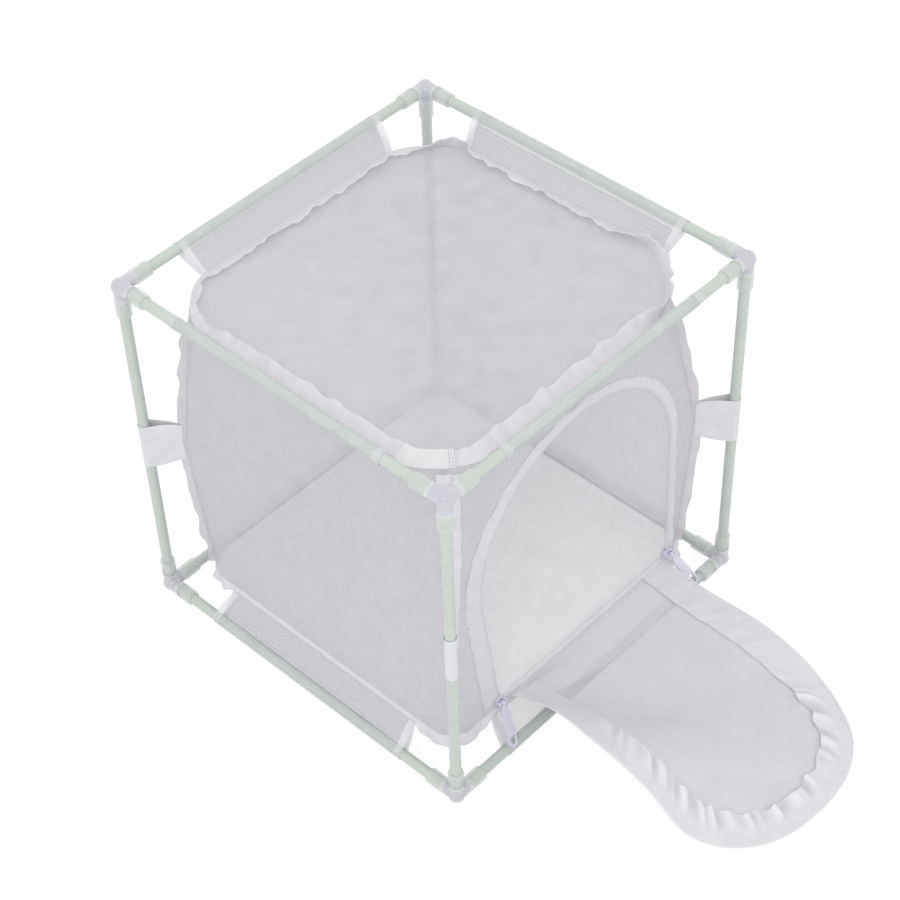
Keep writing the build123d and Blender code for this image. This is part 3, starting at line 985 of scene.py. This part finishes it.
def fold(points, height, slope, degrees, bend):
    """Bends flat-frame points (x, s, n) beyond a crease, along a small arc."""
    over = beyond_crease(slope)
    along = np.array([over[1], -over[0], 0.0])
    middle = np.array([0.0, height, 0.0])
    rel = points - middle
    t, d, n = rel @ along, rel @ over, rel[:, 2]
    total = math.radians(degrees)
    start = -bend / 2
    turn = total * np.clip((d - start) / bend, 0, 1)
    radius = bend / total
    past = np.maximum(d - bend / 2, 0)
    bent_d = np.where(d < start, d, start + radius * np.sin(turn) + past * math.cos(total))
    bent_n = np.where(d < start, 0.0, radius * (1 - np.cos(turn)) + past * math.sin(total))
    across = (bent_d - n * np.sin(turn))[:, None] * over
    return middle + t[:, None] * along + across + (bent_n + n * np.cos(turn))[:, None] * UP


def open_door(flat):
    """Flat door points (x, up from the hinge, out of its outer face) to the rest pose."""
    x, s, n = fold(fold(flat, *UPPER_CREASE), *LOWER_CREASE).T
    y = ZIP_Y - s * math.sin(HINGE_FOLD) - n * math.cos(HINGE_FOLD)
    z = HINGE_Z + s * math.cos(HINGE_FOLD) - n * math.sin(HINGE_FOLD)
    return stack(x, y, z) + creep(flat)


# How far the limp cloth has crept from its plain folds: place on the flat door (x, up from
# the hinge), then the move (x, y, z).
CREEP = (
    (-84, 22, 8, 19, 18), (-88, 50, 19, 16, 25), (-94, 90, -12, 6, -7), (-97, 130, 25, -3, 20),
    (-80, 180, -6, 7, -3), (-40, 215, 2, 2, -1), (5, 222, -1, 8, 0), (50, 210, 8, -5, 2),
    (80, 180, 0, -7, -8), (97, 130, 8, -3, 9), (99, 85, 11, -3, 11), (100, 40, -1, 0, 1),
    (-50, 45, 4, 1, 3), (-55, 110, 1, 1, -1), (0, 160, -3, -18, -9), (60, 110, 3, -2, 1),
    (60, 40, 1, 0, 0), (0, 80, 1, 0, 0),
)
CREEP_REACH = 32.0


def creep(flat):
    """Moves that blend between the places above and die out at the hinge."""
    moves = np.array(CREEP, float)
    hinge = np.array([(x, 0) for x in range(-100, 101, 40)], float)
    places = np.concatenate([moves[:, :2], hinge])
    away = ((flat[:, None, :2] - places[None]) ** 2).sum(-1)
    weights = np.exp(-away / (2 * CREEP_REACH ** 2))
    weights /= weights.sum(1)[:, None]
    return (weights[:, : len(moves)] @ moves[:, 2:]) * smooth_step(flat[:, 1] / 16)[:, None]


def hem_tucks(t):
    """How high the hem's gathers stand, from 0 to about 1, and where along it they are."""
    around = t * HEM_TOTAL
    tip = smooth_step((t - 0.14) / 0.12) * (1 - 0.85 * smooth_step((t - 0.68) / 0.10))
    slow = ripple(around, HEM_TOTAL, 17, 201, 3)
    fine = ripple(around, HEM_TOTAL, 8, 202, 3)
    tucks = np.clip(0.5 + 0.45 * slow + 0.22 * fine, 0, 1.2) ** 1.3
    return tucks, tip


def hem_rows(count=300):
    """Points, cloth coordinates and painted fold highlight and shade of the flat door's gathered hem."""
    t = np.linspace(0, 1, count)
    tucks, tip = hem_tucks(t)
    wander = (2.4 * ripple(t * HEM_TOTAL, HEM_TOTAL, 20, 77) + 1.4 * tucks) * tip
    edge = arch_line(DOOR_GAP, DOOR_FOOT, count)[0]
    inward = arch_line(DOOR_GAP + HEM_WIDTH, DOOR_FOOT, count)[0] - edge
    rows, cloth, fold_shading = [], [], []
    for share in np.linspace(0, 1, 14):
        line = edge + inward * (share * (1 + wander / HEM_WIDTH))[:, None]
        puff = smooth_step((share - 0.12) / 0.5) * (1 - 0.25 * smooth_step((share - 0.8) / 0.2))
        lift = -(4.0 * tucks + 0.3) * tip * puff - 0.5 * share
        deep_in = tip * smooth_step((share - 0.25) / 0.5)
        # How much painted highlight the gathers' ridges get and painted shade their valleys, deeper in from
        # the edge.
        fold_shading.append(stack(tucks * deep_in * 0.9, np.clip(0.75 - 1.3 * tucks, 0, 1) * deep_in))
        rows.append(stack(line[:, 0], line[:, 1] - HINGE_Z, lift))
        cloth.append(stack(t * HEM_TOTAL, share * HEM_WIDTH))
    return np.stack(rows), np.stack(cloth), np.stack(fold_shading)


def panel_rows(count=300):
    """Points and cloth coordinates of the flat door's net, with its slack and a pulled fold."""
    edge = arch_line(DOOR_GAP + HEM_WIDTH - 6, DOOR_FOOT, count)[0]
    half = count // 2
    left, right = edge[:half], edge[::-1][:half]
    across = np.linspace(0, 1, 60)
    panel = left[:, None] + (right - left)[:, None] * across[None, :, None]
    x, s = panel[..., 0], panel[..., 1] - HINGE_Z
    lift = 1.4 * np.sin(s / 46.0 + x / 60.0) + 0.8 * np.sin(x / 21.0 - s / 35.0)
    near_edge = smooth_step(np.minimum(across, 1 - across) * 6) * smooth_step((s.max() - s) / 18)
    lift = lift * near_edge * smooth_step(s / 25) + 0.15 * (1 - near_edge)
    ridge = (s - 132) * 0.66 - (x - 8) * 0.75
    lift = lift + 2.4 * np.exp(-np.abs(ridge) / 16) * near_edge * smooth_step((s - 112) / 30)
    return stack(x, s, lift), stack(x, s)


def edge_coil_rows():
    """Points and cloth coordinates of the coil on the flat door's edge."""
    line = arch_line(DOOR_GAP - 1.2, DOOR_FOOT, 1400)[0]
    steps = run_along(line)
    ahead = unit(np.gradient(line, axis=0))
    swell = 0.7 * (1 + 0.22 * np.cos(2 * math.pi * steps / TOOTH_PITCH))
    rings, cloth = [], []
    for a in np.linspace(0, 2 * math.pi, 8, endpoint=False):
        off = math.cos(a) * 1.4 * swell
        x, z = line[:, 0] + ahead[:, 1] * off, line[:, 1] - ahead[:, 0] * off
        rings.append(stack(x, z - HINGE_Z, math.sin(a) * 0.9 * swell))
        cloth.append(stack(steps, a))
    return np.stack(rings), np.stack(cloth)


def door_mesh(hem, panel, coil):
    """The whole door, flat: hem, net panel and the coil on its edge, with material numbers."""
    mesh = bmesh.new()
    layer = mesh.loops.layers.uv.new("cloth")
    # The fold layer holds the painted highlight and painted shade of the hem's gathers.
    fold_shading_layer = mesh.loops.layers.uv.new("fold")

    def add(index, points, uvs, folds=None, close_rows=False):
        vertices = [mesh.verts.new(tuple(p)) for p in points.reshape(-1, 3)]
        uvs = uvs.reshape(-1, 2)
        fold_shading = np.zeros((len(vertices), 2)) if folds is None else folds.reshape(-1, 2)
        for corners in grid_faces(*points.shape[:2], close_rows=close_rows):
            face = mesh.faces.new([vertices[i] for i in corners])
            face.material_index = index
            face.smooth = True
            for loop, i in zip(face.loops, corners):
                loop[layer].uv = uvs[i]
                loop[fold_shading_layer].uv = fold_shading[i]

    add(1, *hem)
    add(0, *panel)
    add(2, *coil, close_rows=True)
    return mesh


def cut_door():
    """The flat door in three pieces, each of which crosses one crease at most."""
    cuts = (
        (LOWER_CREASE[0] * 0.5 + 2, LOWER_CREASE[1] * 0.9),
        ((LOWER_CREASE[0] + UPPER_CREASE[0]) / 2, (LOWER_CREASE[1] + UPPER_CREASE[1]) / 2),
    )
    parts = hem_rows(), panel_rows(), edge_coil_rows()
    pieces = []
    for number, name in enumerate(("door_cloth_near", "door_cloth_middle", "door_cloth_far")):
        mesh = door_mesh(*parts)
        for k, (height, slope) in enumerate(cuts):
            if number in (k, k + 1):
                bmesh.ops.bisect_plane(
                    mesh, geom=[*mesh.verts, *mesh.edges, *mesh.faces], plane_co=(0, height, 0),
                    plane_no=Vector(beyond_crease(slope)), clear_inner=number > k, clear_outer=number <= k,
                )
        opened = place(open_door(np.array([v.co[:] for v in mesh.verts])))
        for vertex, point in zip(mesh.verts, opened):
            vertex.co = point
        data = bpy.data.meshes.new(name)
        mesh.to_mesh(data)
        mesh.free()
        for material in (DOOR_NET, HEM, DOOR_COIL):
            data.materials.append(material)
        pieces.append(link(name, data))
    return pieces


door_near, door_middle, door_far = cut_door()


def hinge_strip():
    """The sewn edge that the door turns on."""
    foot = arch_line(DOOR_GAP, DOOR_FOOT, 2)[0][:, 0]
    x = np.linspace(foot[0], foot[1], 60)
    section = [
        (ZIP_Y - 0.5, FLOOR_Z - 1.5), (ZIP_Y - 0.75, FLOOR_Z + 1.2),
        (ZIP_Y - 0.7, HINGE_Z - 0.4), (ZIP_Y - 1.1, HINGE_Z + 0.5),
    ]
    for d in (1.4, 2.6, 3.6):
        section.append((ZIP_Y + math.sin(HINGE_FOLD) * d, HINGE_Z + math.cos(HINGE_FOLD) * d + 0.9))
    wave = 0.15 * ripple(x, 200, 18, 300)
    points = [stack(x, y, z + wave) for y, z in section]
    uvs = stack(x, np.arange(len(section))[:, None] * 1.8)
    return grid_piece("door_hinge_tape", points, uvs, [BINDING])


hinge_tape = hinge_strip()


# ---- Which piece stands for what

root = "cage"


def stands_for(piece, slot_name, *nodes):
    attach(piece, root)
    if nodes:
        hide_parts(*nodes)


def crease_ends(height, slope, reach=8.0):
    """Two points, before and after a crease at its middle, in the shared frame."""
    points = np.array([[0, height, 0]]) + np.array([[-reach], [reach]]) * beyond_crease(slope)
    return place(open_door(points))


stands_for(tuck, "net")
for piece in (binding_end, loose_end, front_tape):
    stands_for(piece, "tape")
stands_for(binding_top, "tape", "binding_top")
stands_for(binding_bottom, "tape", "binding_bottom")
stands_for(zip_tape, "tape", "zip_tape")
stands_for(zip_coil, "coil", "zip_coil")
for name, tape in corner_tapes.items():
    stands_for(tape, "tape", f"binding_{name}")
sewn_to = {
    "front": [zip_tape, corner_tapes["front_right"]], "right": [corner_tapes["back_right"]],
    "back": [corner_tapes["back_left"]], "left": [corner_tapes["front_left"], front_tape, tuck],
}
for side, wall in walls.items():
    stands_for(wall, "net", f"net_wall_{side}")
    width = float(side_end(side, 0.5, -1) + side_end(side, 0.5, 1)) * MM
    tall = NET_TALL * MM
    min(area_of(wall), 0.999 * width * tall)
    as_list(sewn_to[side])
for piece, slot_name, node, size, tapes in (
    (roof, "net", "net_roof", 0.252, [binding_top, binding_end, loose_end]),
    (floor_piece, "cloth", "floor_cloth", 0.262, [binding_bottom]),
):
    stands_for(piece, slot_name, node)
    min(area_of(piece), size ** 2)
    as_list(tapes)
for pieces, slot_name, kind, bar in (
    (sleeves, "net", "sleeve", "tube"), (straps, "webbing", "strap", "post"),
):
    for name, (piece, width, length) in pieces.items():
        stands_for(piece, slot_name, f"{kind}_{name}")
for name, piece in connectors.items():
    stands_for(piece, "connector_plastic", f"connector_{name}")

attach(door_near, "door_near")
for piece, before, part, crease in (
    (door_middle, "door_near", "door_middle", LOWER_CREASE),
    (door_far, "door_middle", "door_far", UPPER_CREASE),
):
    start, end = crease_ends(*crease[:2])
    tuple(start)
    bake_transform(piece)
for piece, part in ((door_near, "near"), (door_middle, "middle"), (door_far, "far")):
    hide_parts(f"door_mesh_{part}", f"door_hem_{part}")
    points = np.array([v.co[:] for v in piece.data.vertices])
    span = points.max(0) - points.min(0)
    width, length = float(span[0]), math.hypot(span[1], span[2])
    min(area_of(piece), 0.999 * width * length)
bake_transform(hinge_tape)

FINISHES = {"tube_": TUBE, "post_": TUBE, "connector_": CONNECTOR, "slider_": METAL, "pull_tab": METAL}
for name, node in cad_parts.items():
    for start, finish in FINISHES.items():
        if name.startswith(start):
            for slot in node.material_slots:
                slot.material = finish


# ---- Stage, light and camera

def stage():
    """A pale floor that the camera sees as white, but for the shadow, and a soft white world."""
    bpy.ops.mesh.primitive_plane_add(size=12, location=(0, 0, -0.0004))
    ground = bpy.context.object
    ground.name = "ground"
    pale = Shading("pale_ground")
    floor = pale.node("BsdfDiffuse", {0: (0.9, 0.9, 0.9)}).outputs[0]
    glow = pale.node("Emission", {0: (1.0, 1.0, 1.0), 1: 1.04}).outputs[0]
    share = pale.math("MULTIPLY", pale.seen(), 0.88)
    ground.data.materials.append(pale.done(pale.blend(share, floor, glow)))

    world = bpy.data.worlds.new("studio")
    bpy.context.scene.world = world
    sky = Shading("studio", world)
    soft = sky.node("Background", {0: (0.98, 0.98, 1.0), 1: 1.03}).outputs[0]
    white = sky.node("Background", {0: (1.0, 1.0, 1.0), 1: 1.0}).outputs[0]
    sky.done(sky.blend(sky.seen(), soft, white), "OutputWorld")


def area_light(name, location, target, size, power):
    light = bpy.data.lights.new(name, "AREA")
    light.shape = "SQUARE"
    light.size = size
    light.energy = power
    lamp = link(name, light)
    lamp.location = location
    direction = Vector(target) - Vector(location)
    lamp.rotation_euler = direction.to_track_quat("-Z", "Y").to_euler()


def camera():
    """The photograph's view: azimuth, elevation and roll, with distance and shift in cube sides."""
    side, distance, shift = 0.3, 5.321, (0.023, -0.046)
    sensor, focal_px, photo_px = 36.0, 2207.1, 900
    azimuth, elevation, roll = (math.radians(a) for a in (-45.5, 44.97, -2.19))
    back = Vector((
        math.sin(azimuth) * math.cos(elevation), -math.cos(azimuth) * math.cos(elevation), math.sin(elevation)
    ))
    right = Vector((0, 0, 1)).cross(back).normalized()
    up = back.cross(right)
    turned_right = right * math.cos(roll) + up * math.sin(roll)
    turned_up = up * math.cos(roll) - right * math.sin(roll)
    target = Vector(MIDDLE) + Vector((0, 0, side / 2 + LOW_AXIS * MM))
    data = bpy.data.cameras.new("camera")
    data.sensor_width = sensor
    data.lens = sensor * focal_px / photo_px
    eye = link("camera", data)
    matrix = Matrix((turned_right, turned_up, back)).transposed().to_4x4()
    matrix.translation = (
        target + back * distance * side + turned_right * shift[0] * side + turned_up * shift[1] * side
    )
    eye.matrix_world = matrix
    bpy.context.scene.camera = eye


stage()
area_light("key", (-0.9, -0.7, 1.5), (0, 0, 0.15), 0.6, 5.5)
camera()
bpy.context.scene.view_settings.view_transform = "Standard"
